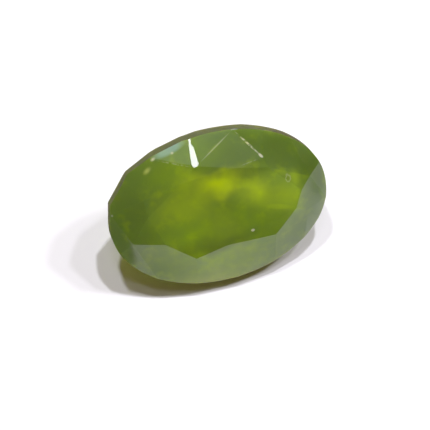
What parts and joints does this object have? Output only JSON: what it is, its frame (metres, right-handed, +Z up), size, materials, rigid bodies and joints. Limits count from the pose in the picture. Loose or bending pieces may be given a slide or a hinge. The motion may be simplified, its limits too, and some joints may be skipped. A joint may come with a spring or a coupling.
{
  "type": "faceted vesuvianite gemstone",
  "caption": "Loose oval brilliant-cut vesuvianite, a see-through yellow-green gem with a broad table and a pointed pavilion, lying tilted on its underside.",
  "frame": {"origin": "middle of the stone's outline on the surface that it lies on", "axes": "+X along the stone's length, +Z up, -Y the side that the table leans towards"},
  "size_m": [0.012, 0.007, 0.0062],
  "materials": {
    "vesuvianite": "polished"
  },
  "bodies": {
    "root": {"stone": "vesuvianite"}
  },
  "joints": []
}
